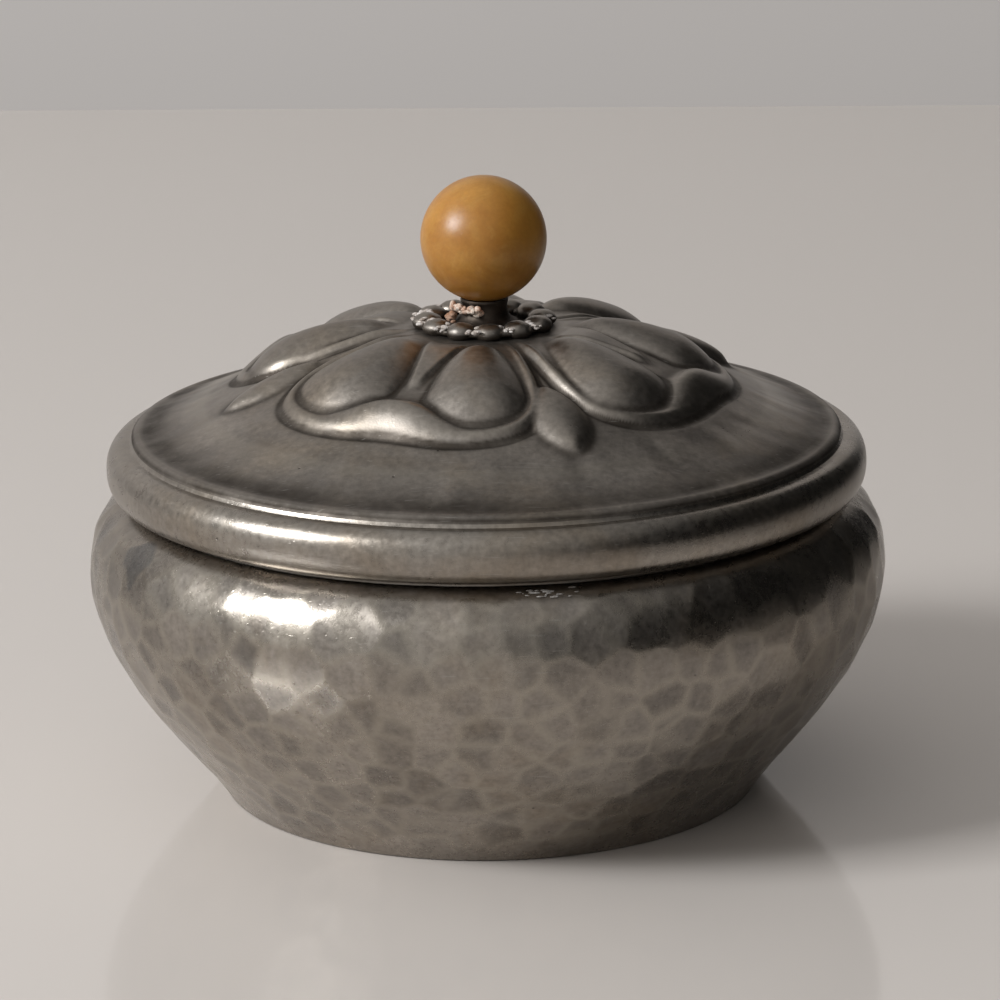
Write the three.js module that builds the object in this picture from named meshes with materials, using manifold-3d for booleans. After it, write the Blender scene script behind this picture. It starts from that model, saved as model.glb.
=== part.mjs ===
// A round hammered sugar bowl with a domed lid, a raised rose on the lid and a ball knob.
// Millimetres, +Z up. The origin is the middle of the bowl's base, on the table.
import * as THREE from 'three';
import { mergeVertices } from 'three/addons/utils/BufferGeometryUtils.js';
import Module from 'manifold-3d';

const wasm = await Module();
wasm.setup();

// Bowl
const BOWL_RADIUS = 65;
const BELLY_HEIGHT = 37;
const FOOT_RADIUS = 44.1;
const FOOT_EDGE_ROUND = 0.5;
const REST_RING_RADIUS = 38;
const BASE_RECESS = 0.8;
const SHEET = 1.5;
const MOUTH_RADIUS = 58.2;
const MOUTH_HEIGHT = 49.3;
const WALL_FOOT_PULL = [49.5, 9];
const WALL_BELLY_PULL = [64.5, 22];
const SHOULDER_BELLY_PULL = [BOWL_RADIUS, 42];
const SHOULDER_MOUTH_PULL = [63.8, 46.9];
const REST_RING_CHAMFER = 1;
const INSIDE_CORNER = 2.4;
const INSIDE_CORNER_HEIGHT = 1;

// Upright collar let into the bowl's mouth, which the lid rests on
const COLLAR_OUTER = 57.3;
const COLLAR_INNER = 55.9;
const COLLAR_BOTTOM = 43.6;
const COLLAR_TOP = 49.6;

// Moulding around the lid's edge
const MOULDING_RADIUS = 58.2;
const MOULDING_HEIGHT = 54.1;
const MOULDING_HALF_WIDTH = 3.6;
const MOULDING_HALF_HEIGHT = 4.2;
const MOULDING_SQUARENESS = 2.3;
const MOULDING_INNER = 55.7;
const MOULDING_SEAT_HEIGHT = 51.2;
const MOULDING_START_DEGREES = -110;
const MOULDING_TURN_DEGREES = 200;
const REBATE_RADIUS = 57.9;
const REBATE_HEIGHT = 57.7;

// Locating flange under the lid
const FLANGE_OUTER = 55.4;
const FLANGE_INNER = 54;
const FLANGE_BOTTOM = 45.5;
const FLANGE_TOP = 58;
const FLANGE_CHAMFER = 0.5;
const FLANGE_CHAMFER_HEIGHT = 1;

// Lid sheet
const LID_RADIUS = 57.6;
const LID_RIM_HEIGHT = 59.4;
const DOME_RISE = 17.6;
const DOME_SPAN = 58;
const DOME_POWER = 1.45;
const LID_SHEET = 1.3;
const CENTRE_FLAT = 6.8;
const CENTRE_FLAT_HEIGHT = 76.3;
const CENTRE_BLEND = 1.6;
const LID_EDGE_RING = 1.2;

// Knob
const BALL_RADIUS = 10.2;
const BALL_HEIGHT = 90.6;
const STUD_RADIUS = 1.5;
const STUD_BOTTOM = 69.5;
const STUD_TOP = 88;
const CLEAR_HOLE = 1.8;
const GAP = 0.3;
const NECK_FOOT = 5.4;
const NECK_WAIST = 3.4;
const NECK_LIP = 3.9;
const NECK_FOOT_EDGE = 0.5;
const NECK_FOOT_PULL = [0.2, 1.2];
const NECK_LIP_PULL = 1.6;
const NECK_LIP_EDGE = 0.3;
const WASHER_RADIUS = 5.5;
const WASHER_THICKNESS = 0.8;
const NUT_ACROSS_FLATS = 5.5;
const NUT_HEIGHT = 2.4;
const NUT_SIDES = 6;

// Ring of small beads around the knob
const BEADS = 12;
const BEADS_TURN = -85;
const BEAD_RING_RADIUS = 9.3;
const BEAD_LONG = 2.4;
const BEAD_WIDE = 2.3;
const BEAD_TALL = 1.5;
const BEAD_LEVEL = 77.1;
const BEAD_WIRE_HALF_WIDTH = 1.5;
const BEAD_WIRE_DEPTH = 0.45;
const BEAD_WIRE_RISE = 0.4;

// Rose petals: bearing of the axis, reach, half widths to the low and high side, squareness of
// the outline, and the turn from the axis and half width of each of the two lobes
const PETALS = [
  { bearing: -114, reach: 40, low: 47, high: 43.5, square: 4.8, lobes: [[-22, 9.2], [21, 8]] },
  { bearing: -23, reach: 40.7, low: 45, high: 45, square: 4.2, lobes: [[-22.5, 8.4], [23, 8.2]] },
  { bearing: 68, reach: 41, low: 45, high: 45, square: 4.5, lobes: [[-18.5, 8], [18.5, 8]] },
  { bearing: 153, reach: 42, low: 42, high: 37, square: 4.2, lobes: [[-20, 8], [19.5, 7.8]] },
];
const PETAL_NOTCH = 0.02;
const PETAL_NOTCH_WIDTH = 9;
const PETAL_EDGE = 0.9;
const PETAL_EDGE_OUTSIDE = 0.1;
const PETAL_EDGE_INSIDE = 0.9;
const RIM_RISE = 0.6;
const RIM_WIDTH = 2.6;
const LOBE_RISE = 3.2;
const LOBE_BACK = 10;
const LOBE_OUT = 7;
const LOBE_IN = 17;
const LOBE_TAPER = 0.9;
const LOBE_LEAST_RADIUS = 5;
const LOBE_ROUNDNESS = 0.8;
const LIP_RISE = 2.4;
const LIP_BACK = 4.9;
const LIP_BEND = 40;
const LIP_LENGTH = 9;
const LIP_OUTER_WIDTH = 3.4;
const LIP_INNER_WIDTH = 2.6;
const LIP_FADE = 2.2;
const RIB_START = 13;
const RIB_LENGTH = 22;
const RIB_HALF_WIDTH = 4.2;
const RIB_RISES = [12, 15];
const RIB_SINKS = [26, 30];
const RIB_SIDE = 0.9;
const ROSE_FADE_START = 10;
const ROSE_FADE_END = 19;

// How softly one raised shape runs into the next
const RELIEF_BLEND = 0.3;
const LIP_BLEND = 0.35;
const RIB_BLEND = 0.2;
const PETAL_BLEND = 0.4;

// Sepals between the petals
const SEPALS = [
  { bearing: -71, tip: 42.8, half: 5, rise: 2.1 },
  { bearing: 21, tip: 43, half: 5.2, rise: 3 },
  { bearing: 111, tip: 43, half: 4.6, rise: 2 },
  { bearing: -165, tip: 43.2, half: 4, rise: 1.9 },
];
const SEPAL_ROOT = 27;
const SEPAL_FULLNESS = 2.71;
const SEPAL_ROOT_POWER = 0.8;
const SEPAL_TIP_POWER = 0.65;
const SEPAL_ARCH = 2.2;

// Crumbs of old cement beside the neck
const CEMENT_CRUMBS = [
  { bearing: -172, radius: 4.9, height: 78.9, size: 1.25 },
  { bearing: -150, radius: 5.1, height: 79.4, size: 1.2 },
  { bearing: -130, radius: 4.9, height: 79.5, size: 1.15 },
  { bearing: 168, radius: 5.2, height: 78.1, size: 1.15 },
];

// Fineness of the meshes
const WALL_SPANS = [8, 7];
const MOULDING_SPANS = 11;
const NECK_SPANS = 7;
const BALL_SPANS = 14;
const KNOB_STEPS = 32;
const FINE_STEPS = 24;
const WIRE_STEPS = 36;
const BEAD_STEPS = [8, 6];
const CLEARANCE_BALL_STEPS = [40, 30];
const ROUND_STEPS = 56;
const LID_ROUND_STEPS = 84;
const LID_RINGS = [7.6, 10, 14, 18, 22, 25.5, 28.5, 31, 33.5, 35.5, 37.5, 39, 40.5, 42, 45, 51];

function material(colour, roughness, metalness) {
  return new THREE.MeshStandardMaterial({ color: colour, roughness, metalness });
}
const pewter = () => material(0x8d877e, 0.38, 1);
const darkPewter = () => material(0x5d5852, 0.5, 1);
const brass = () => material(0x9a7d45, 0.45, 1);
const butterscotch = () => material(0xb07a2c, 0.3, 0);
const plaster = () => material(0xcdb9a6, 0.9, 0);

function node(name, geometry, finish) {
  const mesh = new THREE.Mesh(geometry, finish);
  mesh.name = name;
  return mesh;
}

function lathe(points, steps = ROUND_STEPS) {
  const closed = [...points, points[0]];
  const profile = closed.map(([r, z]) => new THREE.Vector2(r, z));
  const geometry = new THREE.LatheGeometry(profile, steps);
  geometry.rotateX(Math.PI / 2);
  return geometry;
}

function arc(centreR, centreZ, radius, startDegrees, endDegrees, steps) {
  const points = [];
  for (let i = 0; i <= steps; i += 1) {
    const angle = THREE.MathUtils.degToRad(startDegrees + ((endDegrees - startDegrees) * i) / steps);
    points.push([centreR + radius * Math.cos(angle), centreZ + radius * Math.sin(angle)]);
  }
  return points;
}

// The bowl's wall as two curves that meet at the belly
function wallCurves() {
  const wall = new THREE.CubicBezierCurve(
    new THREE.Vector2(FOOT_RADIUS, FOOT_EDGE_ROUND),
    new THREE.Vector2(...WALL_FOOT_PULL),
    new THREE.Vector2(...WALL_BELLY_PULL),
    new THREE.Vector2(BOWL_RADIUS, BELLY_HEIGHT),
  );
  const shoulder = new THREE.CubicBezierCurve(
    new THREE.Vector2(BOWL_RADIUS, BELLY_HEIGHT),
    new THREE.Vector2(...SHOULDER_BELLY_PULL),
    new THREE.Vector2(...SHOULDER_MOUTH_PULL),
    new THREE.Vector2(MOUTH_RADIUS, MOUTH_HEIGHT),
  );
  return [wall, shoulder];
}

function bowlProfile() {
  const outer = [];
  const inner = [];
  wallCurves().forEach((curve, which) => {
    const first = which === 0 ? 0 : 1;
    const spans = WALL_SPANS[which];
    for (let i = first; i <= spans; i += 1) {
      const t = i / spans;
      const point = curve.getPoint(t);
      const along = curve.getTangent(t);
      outer.push([point.x, point.y]);
      inner.push([point.x - along.y * SHEET, point.y + along.x * SHEET]);
    }
  });
  const floor = BASE_RECESS + SHEET;
  const inside = inner.filter(([, z]) => z > floor + INSIDE_CORNER_HEIGHT);
  return [
    [0, BASE_RECESS],
    [REST_RING_RADIUS - REST_RING_CHAMFER, BASE_RECESS],
    [REST_RING_RADIUS, 0],
    [FOOT_RADIUS - FOOT_EDGE_ROUND, 0],
    ...outer,
    ...inside.reverse(),
    [FOOT_RADIUS - INSIDE_CORNER, floor],
    [0, floor],
  ];
}

function bowlBody() {
  return node('bowl_body', lathe(bowlProfile()), pewter());
}

function mouthCollar() {
  const points = [
    [COLLAR_INNER, COLLAR_BOTTOM],
    [COLLAR_OUTER, COLLAR_BOTTOM],
    [COLLAR_OUTER, COLLAR_TOP],
    [COLLAR_INNER, COLLAR_TOP],
  ];
  return node('mouth_collar', lathe(points), pewter());
}

function lidMoulding() {
  const points = [[MOULDING_INNER, MOULDING_SEAT_HEIGHT]];
  const power = 2 / MOULDING_SQUARENESS;
  for (let i = 0; i <= MOULDING_SPANS; i += 1) {
    const turn = (MOULDING_TURN_DEGREES * i) / MOULDING_SPANS;
    const angle = THREE.MathUtils.degToRad(MOULDING_START_DEGREES + turn);
    const c = Math.cos(angle);
    const s = Math.sin(angle);
    points.push([
      MOULDING_RADIUS + MOULDING_HALF_WIDTH * Math.sign(c) * Math.abs(c) ** power,
      MOULDING_HEIGHT + MOULDING_HALF_HEIGHT * Math.sign(s) * Math.abs(s) ** power,
    ]);
  }
  points.push([REBATE_RADIUS, REBATE_HEIGHT], [MOULDING_INNER, REBATE_HEIGHT]);
  return node('lid_moulding', lathe(points), pewter());
}

function lidFlange() {
  const points = [
    [FLANGE_INNER + FLANGE_CHAMFER, FLANGE_BOTTOM],
    [FLANGE_OUTER - FLANGE_CHAMFER, FLANGE_BOTTOM],
    [FLANGE_OUTER, FLANGE_BOTTOM + FLANGE_CHAMFER_HEIGHT],
    [FLANGE_OUTER, FLANGE_TOP],
    [FLANGE_INNER, FLANGE_TOP],
    [FLANGE_INNER, FLANGE_BOTTOM + FLANGE_CHAMFER_HEIGHT],
  ];
  return node('lid_flange', lathe(points), pewter());
}

function ease(low, high, value) {
  const t = THREE.MathUtils.clamp((value - low) / (high - low), 0, 1);
  return t * t * (3 - 2 * t);
}

function softMax(a, b, softness) {
  const h = Math.max(softness - Math.abs(a - b), 0) / softness;
  return Math.max(a, b) + h * h * softness * 0.25;
}

function bell(value, width) {
  return Math.exp(-((value / width) ** 2));
}

function turned(bearing, centre) {
  return ((((bearing - centre) % 360) + 540) % 360) - 180;
}

function domeHeight(r) {
  const share = Math.max(1 - (r / DOME_SPAN) ** 2, 0);
  return LID_RIM_HEIGHT + DOME_RISE * share ** DOME_POWER;
}

// Distance in from a petal's outline, negative outside it
function petalInside(petal, r, away) {
  const width = THREE.MathUtils.degToRad(away < 0 ? petal.low : petal.high);
  const angle = Math.abs(THREE.MathUtils.degToRad(away));
  const n = petal.square;
  const reach = petal.reach * (1 - PETAL_NOTCH * bell(away, PETAL_NOTCH_WIDTH));
  const level = (r / reach) ** n + (angle / width) ** n;
  const slopeOut = (n * (r / reach) ** (n - 1)) / reach;
  const slopeRound = (n * (angle / width) ** (n - 1)) / (width * Math.max(r, 1));
  return (1 - level) / Math.max(Math.hypot(slopeOut, slopeRound), 1e-6);
}

function lobeHeight(petal, r, bearing) {
  const middle = petal.reach - LOBE_BACK;
  let height = 0;
  for (const [turn, half] of petal.lobes) {
    const away = turned(bearing, petal.bearing + turn);
    const width = half * (Math.max(r, LOBE_LEAST_RADIUS) / middle) ** LOBE_TAPER;
    const across = (r * Math.sin(THREE.MathUtils.degToRad(away))) / width;
    const along = (r - middle) / (r > middle ? LOBE_OUT : LOBE_IN);
    const share = Math.abs(away) < 90 ? Math.max(1 - across ** 2 - along ** 2, 0) : 0;
    height = softMax(height, LOBE_RISE * share ** LOBE_ROUNDNESS, RELIEF_BLEND);
  }
  return height;
}

// Height of one petal above the dome: a stepped edge, a rim, a turned lip, two lobes and a rib
function petalHeight(petal, r, bearing) {
  const away = turned(bearing, petal.bearing);
  const inside = petalInside(petal, r, away);
  if (inside <= -PETAL_EDGE_OUTSIDE) {
    return 0;
  }
  const edge = PETAL_EDGE * ease(-PETAL_EDGE_OUTSIDE, PETAL_EDGE_INSIDE, inside);
  const rim = RIM_RISE * Math.sin(Math.PI * THREE.MathUtils.clamp(inside / RIM_WIDTH, 0, 1));
  const across = r * Math.sin(THREE.MathUtils.degToRad(away));
  const crest = r - (petal.reach - LIP_BACK + across ** 2 / LIP_BEND);
  const lipShape = bell(across, LIP_LENGTH) * bell(crest, crest > 0 ? LIP_OUTER_WIDTH : LIP_INNER_WIDTH);
  const lip = LIP_RISE * lipShape * ease(0, LIP_FADE, inside);
  const ribHalf = Math.max(RIB_HALF_WIDTH * (1 - (r - RIB_START) / RIB_LENGTH), 0.01);
  const ribSpan = ease(...RIB_RISES, r) * (1 - ease(...RIB_SINKS, r));
  const rib = ribSpan * ease(0, RIB_SIDE, ribHalf - Math.abs(across));
  const lobesAndLip = softMax(lobeHeight(petal, r, bearing), lip, LIP_BLEND);
  return edge + softMax(softMax(lobesAndLip, rim, RELIEF_BLEND), rib, RIB_BLEND);
}

function sepalHeight(sepal, r, bearing) {
  const share = (r - SEPAL_ROOT) / (sepal.tip - SEPAL_ROOT);
  const away = turned(bearing, sepal.bearing);
  if (share <= 0 || share >= 1 || Math.abs(away) >= 90) {
    return 0;
  }
  const swell = share ** SEPAL_ROOT_POWER * (1 - share) ** SEPAL_TIP_POWER;
  const half = sepal.half * SEPAL_FULLNESS * swell;
  const across = Math.abs(r * Math.sin(THREE.MathUtils.degToRad(away)));
  const arch = 1 - (across / half) ** SEPAL_ARCH;
  return across < half ? sepal.rise * arch * Math.sqrt(half / sepal.half) : 0;
}

// Height of the lid's upper face at a radius and a bearing in degrees
function lidHeight(r, bearing) {
  let relief = 0;
  for (const sepal of SEPALS) {
    relief = softMax(relief, sepalHeight(sepal, r, bearing), RELIEF_BLEND);
  }
  for (const petal of PETALS) {
    relief = softMax(relief, petalHeight(petal, r, bearing), PETAL_BLEND);
  }
  const open = ease(CENTRE_FLAT, CENTRE_FLAT + CENTRE_BLEND, r);
  const rose = relief * ease(ROSE_FADE_START, ROSE_FADE_END, r);
  return CENTRE_FLAT_HEIGHT * (1 - open) + (domeHeight(r) + rose) * open;
}

// A closed sheet between an upper and a lower face, with a round hole in the middle
function lidShell() {
  const rings = [CLEAR_HOLE, CENTRE_FLAT, ...LID_RINGS, LID_RADIUS - LID_EDGE_RING, LID_RADIUS];
  const positions = [];
  const faces = [];
  const count = LID_ROUND_STEPS;
  const layer = rings.length * count;
  for (const drop of [0, LID_SHEET]) {
    for (const r of rings) {
      for (let j = 0; j < count; j += 1) {
        const bearing = (360 * j) / count;
        const angle = THREE.MathUtils.degToRad(bearing);
        positions.push(r * Math.cos(angle), r * Math.sin(angle), lidHeight(r, bearing) - drop);
      }
    }
  }
  const quad = (a, b, c, d) => faces.push(a, b, c, a, c, d);
  for (let j = 0; j < count; j += 1) {
    const next = (j + 1) % count;
    for (let i = 0; i + 1 < rings.length; i += 1) {
      const near = i * count;
      const far = near + count;
      quad(near + j, far + j, far + next, near + next);
      quad(layer + near + j, layer + near + next, layer + far + next, layer + far + j);
    }
    const last = (rings.length - 1) * count;
    quad(last + j, layer + last + j, layer + last + next, last + next);
    quad(j, next, layer + next, layer + j);
  }
  const geometry = new THREE.BufferGeometry();
  geometry.setAttribute('position', new THREE.Float32BufferAttribute(positions, 3));
  geometry.setIndex(faces);
  geometry.computeVertexNormals();
  return node('lid_shell', geometry, pewter());
}

function toManifold(geometry) {
  const plain = geometry.clone();
  plain.deleteAttribute('normal');
  plain.deleteAttribute('uv');
  const welded = mergeVertices(plain, 1e-4);
  return new wasm.Manifold(new wasm.Mesh({
    numProp: 3,
    vertProperties: new Float32Array(welded.attributes.position.array),
    triVerts: new Uint32Array(welded.index.array),
  }));
}

function fromManifold(solid) {
  const mesh = solid.getMesh();
  const geometry = new THREE.BufferGeometry();
  geometry.setAttribute('position', new THREE.Float32BufferAttribute(mesh.vertProperties, 3));
  geometry.setIndex(Array.from(mesh.triVerts));
  geometry.computeVertexNormals();
  return geometry;
}

// Twelve long beads on a flat wire, one casting
function beadRing() {
  const low = BEAD_LEVEL - BEAD_WIRE_DEPTH;
  const inner = BEAD_RING_RADIUS - BEAD_WIRE_HALF_WIDTH;
  const outer = BEAD_RING_RADIUS + BEAD_WIRE_HALF_WIDTH;
  const high = BEAD_LEVEL + BEAD_WIRE_RISE;
  const wire = [[inner, low], [outer, low], [outer, high], [inner, high]];
  let ring = toManifold(lathe(wire, WIRE_STEPS));
  for (let i = 0; i < BEADS; i += 1) {
    const bead = new THREE.SphereGeometry(1, ...BEAD_STEPS);
    bead.rotateX(Math.PI / 2);
    bead.scale(BEAD_LONG, BEAD_WIDE, BEAD_TALL);
    bead.translate(BEAD_RING_RADIUS, 0, BEAD_LEVEL);
    bead.rotateZ(THREE.MathUtils.degToRad(BEADS_TURN + (360 * i) / BEADS));
    ring = ring.add(toManifold(bead));
  }
  const reach = outer + BEAD_LONG;
  const under = new THREE.CylinderGeometry(reach, reach, BEAD_TALL * 2, WIRE_STEPS);
  under.rotateX(Math.PI / 2);
  under.translate(0, 0, low - BEAD_TALL);
  return node('bead_ring', fromManifold(ring.subtract(toManifold(under))), darkPewter());
}

// Height of the ball's underside at a radius
function ballUnder(r) {
  return BALL_HEIGHT - Math.sqrt(BALL_RADIUS ** 2 - r ** 2);
}

// The neck's hollow flare from its foot to its lip, grown outward by a given amount
function neckFlare(grow) {
  const foot = CENTRE_FLAT_HEIGHT + GAP;
  const lipTop = ballUnder(NECK_LIP) - GAP;
  const flare = new THREE.CubicBezierCurve(
    new THREE.Vector2(NECK_FOOT + grow, foot + NECK_FOOT_EDGE),
    new THREE.Vector2(NECK_WAIST + NECK_FOOT_PULL[0] + grow, foot + NECK_FOOT_PULL[1]),
    new THREE.Vector2(NECK_WAIST + grow, lipTop - NECK_LIP_PULL),
    new THREE.Vector2(NECK_LIP + grow, lipTop - NECK_LIP_EDGE),
  );
  return flare.getPoints(NECK_SPANS).map((point) => [point.x, point.y]);
}

function knobNeck() {
  const foot = CENTRE_FLAT_HEIGHT + GAP;
  const points = [
    [CLEAR_HOLE, foot],
    [NECK_FOOT, foot],
    ...neckFlare(0),
    [NECK_LIP, ballUnder(NECK_LIP) - GAP],
    [CLEAR_HOLE, ballUnder(CLEAR_HOLE) - GAP],
  ];
  return node('knob_neck', lathe(points, KNOB_STEPS), darkPewter());
}

function knobBall() {
  const start = -THREE.MathUtils.radToDeg(Math.acos(CLEAR_HOLE / BALL_RADIUS));
  const points = [
    [0, STUD_TOP + GAP],
    [CLEAR_HOLE, STUD_TOP + GAP],
    ...arc(0, BALL_HEIGHT, BALL_RADIUS, start, 90, BALL_SPANS),
  ];
  points[points.length - 1][0] = 0;
  return node('knob_ball', lathe(points, KNOB_STEPS), butterscotch());
}

function knobStud() {
  const points = [[0, STUD_BOTTOM], [STUD_RADIUS, STUD_BOTTOM], [STUD_RADIUS, STUD_TOP], [0, STUD_TOP]];
  return node('knob_stud', lathe(points, FINE_STEPS), brass());
}

function knobWasher() {
  const top = CENTRE_FLAT_HEIGHT - LID_SHEET - GAP;
  const points = [
    [CLEAR_HOLE, top - WASHER_THICKNESS],
    [WASHER_RADIUS, top - WASHER_THICKNESS],
    [WASHER_RADIUS, top],
    [CLEAR_HOLE, top],
  ];
  return node('knob_washer', lathe(points, KNOB_STEPS), brass());
}

function knobNut() {
  const top = CENTRE_FLAT_HEIGHT - LID_SHEET - 2 * GAP - WASHER_THICKNESS;
  const corner = NUT_ACROSS_FLATS / Math.sqrt(3);
  const shape = new THREE.Shape();
  for (let i = 0; i < NUT_SIDES; i += 1) {
    const angle = (2 * Math.PI * i) / NUT_SIDES;
    const move = i === 0 ? 'moveTo' : 'lineTo';
    shape[move](corner * Math.cos(angle), corner * Math.sin(angle));
  }
  shape.closePath();
  const hole = new THREE.Path();
  hole.absarc(0, 0, CLEAR_HOLE, 0, 2 * Math.PI, true);
  shape.holes.push(hole);
  const settings = { depth: NUT_HEIGHT, bevelEnabled: false, curveSegments: FINE_STEPS };
  const geometry = new THREE.ExtrudeGeometry(shape, settings);
  geometry.translate(0, 0, top - NUT_HEIGHT);
  return node('knob_nut', geometry, brass());
}

// Crumbs of old cement packed between the neck and the ball on one side
function oldCement() {
  let lump = null;
  for (const crumb of CEMENT_CRUMBS) {
    const angle = THREE.MathUtils.degToRad(crumb.bearing);
    const piece = new THREE.IcosahedronGeometry(crumb.size, 1);
    piece.translate(crumb.radius * Math.cos(angle), crumb.radius * Math.sin(angle), crumb.height);
    lump = lump ? lump.add(toManifold(piece)) : toManifold(piece);
  }
  const clearBall = new THREE.SphereGeometry(BALL_RADIUS + GAP, ...CLEARANCE_BALL_STEPS);
  clearBall.translate(0, 0, BALL_HEIGHT);
  const low = CENTRE_FLAT_HEIGHT - 1;
  const high = ballUnder(0) + 1;
  const clearPoints = [
    [0, low],
    [NECK_FOOT + GAP, low],
    ...neckFlare(GAP),
    [NECK_LIP + GAP, high],
    [0, high],
  ];
  const clearNeck = lathe(clearPoints, KNOB_STEPS);
  const cut = lump.subtract(toManifold(clearBall)).subtract(toManifold(clearNeck));
  return node('old_cement', fromManifold(cut), plaster());
}

const bowl = new THREE.Group();
bowl.name = 'bowl';
bowl.add(bowlBody(), mouthCollar());

const knob = new THREE.Group();
knob.name = 'knob';
knob.add(knobNeck(), knobStud(), knobWasher(), knobNut(), knobBall(), oldCement());

const lid = new THREE.Group();
lid.name = 'lid';
lid.add(lidShell(), lidMoulding(), lidFlange(), beadRing(), knob);

const sugarBowl = new THREE.Group();
sugarBowl.name = 'sugar_bowl';
sugarBowl.add(bowl, lid);

export default sugarBowl;
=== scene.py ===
import math

import bpy
import numpy as np
from mathutils import Euler, Matrix, Vector


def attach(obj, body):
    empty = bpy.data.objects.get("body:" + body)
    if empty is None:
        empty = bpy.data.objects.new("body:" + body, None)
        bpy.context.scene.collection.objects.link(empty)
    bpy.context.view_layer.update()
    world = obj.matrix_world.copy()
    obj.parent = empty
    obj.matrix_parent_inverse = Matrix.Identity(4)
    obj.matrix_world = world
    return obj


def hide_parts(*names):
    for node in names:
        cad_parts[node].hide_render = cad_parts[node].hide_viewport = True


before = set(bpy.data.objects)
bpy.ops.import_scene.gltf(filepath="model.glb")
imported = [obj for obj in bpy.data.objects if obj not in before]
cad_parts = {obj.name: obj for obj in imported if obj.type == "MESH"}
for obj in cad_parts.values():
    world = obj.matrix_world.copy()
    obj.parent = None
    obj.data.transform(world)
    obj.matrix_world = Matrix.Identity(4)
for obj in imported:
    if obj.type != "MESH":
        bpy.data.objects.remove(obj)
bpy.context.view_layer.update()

MM = 0.001
NEVER_ZERO = 1e-6
rng = np.random.default_rng(20)

# Sizes in mm of the unevenness of turned pieces: around and along, fine, and up and down
WOBBLE_WIDE = 9
WOBBLE_FINE = 3.5
WOBBLE_TALL = 11

# ---------------------------------------------------------------- shape helpers


def ease(low, high, value):
    """A smooth step from 0 at low to 1 at high."""
    t = np.clip((value - low) / (high - low), 0, 1)
    return t * t * (3 - 2 * t)


def bell(value, width):
    """1 at zero, falling away smoothly on both sides."""
    return np.exp(-((value / width) ** 2))


def soft_max(a, b, softness):
    """The larger of two heights, with the crease between them rounded."""
    h = np.maximum(softness - np.abs(a - b), 0) / softness
    return np.maximum(a, b) + h * h * softness * 0.25


def turned(bearing, centre):
    """Degrees from one bearing to another, from -180 to 180."""
    return (bearing - centre + 180) % 360 - 180


def bezier(p0, p1, p2, p3, steps):
    t = np.linspace(0, 1, steps + 1)[:, None]
    p0, p1, p2, p3 = (np.array(p, float) for p in (p0, p1, p2, p3))
    return (1 - t) ** 3 * p0 + 3 * (1 - t) ** 2 * t * p1 + 3 * (1 - t) * t**2 * p2 + t**3 * p3


def arc(centre_r, centre_z, radius, start, end, steps):
    angle = np.radians(np.linspace(start, end, steps + 1))
    return np.stack([centre_r + radius * np.cos(angle), centre_z + radius * np.sin(angle)], 1)


def resample(profile, step):
    """Points along a profile at an even spacing, its ends kept."""
    profile = np.array(profile, float)
    lengths = np.r_[0, np.cumsum(np.linalg.norm(np.diff(profile, axis=0), axis=1))]
    count = max(2, int(round(lengths[-1] / step)) + 1)
    at = np.linspace(0, lengths[-1], count)
    return np.stack([np.interp(at, lengths, profile[:, k]) for k in (0, 1)], 1)


def value_noise(points, scale, seed):
    """Smooth noise from -1 to 1 at an array of points in mm, the same on every run."""
    p = np.asarray(points, float) / scale
    cell = np.floor(p).astype(np.int64)
    f = p - cell
    f = f * f * (3 - 2 * f)
    total = np.zeros(len(p))
    for dx in (0, 1):
        for dy in (0, 1):
            for dz in (0, 1):
                h = (
                    (cell[:, 0] + dx) * 374761393
                    + (cell[:, 1] + dy) * 668265263
                    + (cell[:, 2] + dz) * 2147483647
                    + seed * 144665
                )
                h = (h ^ (h >> 13)) * 1274126177
                h = ((h ^ (h >> 16)) & 0xFFFF) / 32767.5 - 1
                weight = (
                    (f[:, 0] if dx else 1 - f[:, 0])
                    * (f[:, 1] if dy else 1 - f[:, 1])
                    * (f[:, 2] if dz else 1 - f[:, 2])
                )
                total += h * weight
    return total


def mesh_object(name, verts, faces, values=None, sharp=None):
    """An object from points in mm, with named values per point and edges sharper than an angle kept."""
    mesh = bpy.data.meshes.new(name)
    mesh.from_pydata((np.asarray(verts) * MM).tolist(), [], faces)
    mesh.validate()
    for key, data in (values or {}).items():
        layer = mesh.attributes.new(key, "FLOAT", "POINT")
        layer.data.foreach_set("value", np.asarray(data, dtype=np.float32))
    mesh.shade_smooth()
    if sharp:
        mesh.set_sharp_from_angle(angle=math.radians(sharp))
    ob = bpy.data.objects.new(name, mesh)
    bpy.context.scene.collection.objects.link(ob)
    return ob


def ring_faces(rows, columns, close_rows=False):
    """Quads over rows of points around an axis. A row of one point is a pole."""
    starts = np.r_[0, np.cumsum(rows)]
    faces = []
    count = len(rows)
    pairs = [(i, i + 1) for i in range(count - 1)]
    if close_rows:
        pairs.append((count - 1, 0))
    j = np.arange(columns)
    k = (j + 1) % columns
    for low, high in pairs:
        a, b = starts[low], starts[high]
        if rows[low] == 1:
            faces += [(int(a), int(q), int(p)) for p, q in zip(b + j, b + k)]
        elif rows[high] == 1:
            faces += [(int(p), int(q), int(b)) for p, q in zip(a + j, a + k)]
        else:
            faces += np.stack([a + j, a + k, b + k, b + j], 1).tolist()
    return faces


def revolve(profile, columns):
    """Points and faces of a profile turned about Z. Upward on the outside faces out."""
    angle = np.arange(columns) * 2 * math.pi / columns
    verts, rows = [], []
    for r, z in profile:
        if r < NEVER_ZERO:
            verts.append(np.array([[0, 0, z]]))
            rows.append(1)
        else:
            ring = np.stack([r * np.cos(angle), r * np.sin(angle), np.full(columns, z)], 1)
            verts.append(ring)
            rows.append(columns)
    closed = rows[0] > 1 and rows[-1] > 1
    return np.vstack(verts), ring_faces(rows, columns, closed)


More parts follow.
